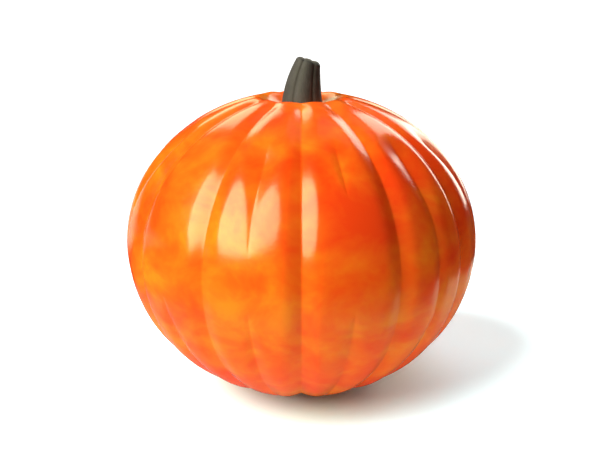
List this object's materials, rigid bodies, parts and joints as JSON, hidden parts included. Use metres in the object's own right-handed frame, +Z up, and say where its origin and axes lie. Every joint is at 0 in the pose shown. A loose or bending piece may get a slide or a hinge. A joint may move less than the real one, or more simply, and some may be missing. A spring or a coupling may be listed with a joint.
{
  "type": "pumpkin",
  "caption": "Whole ribbed orange field pumpkin standing on its blossom end, with a short cut woody stem leaning to one side.",
  "frame": {"origin": "centre of the flat spot the pumpkin rests on, at the resting plane", "axes": "+Z up through the core from the blossom end to the stem; -Y is the front, with a main groove; the stem leans towards +X"},
  "size_m": [0.2848, 0.2848, 0.2729],
  "materials": {
    "rind": "glossy waxy rind, mottled from red-orange to yellow-orange",
    "stalk": "dry matte fibrous stalk, dark grey-green"
  },
  "bodies": {
    "root": {"fruit": "rind", "stem": "stalk"}
  },
  "joints": []
}
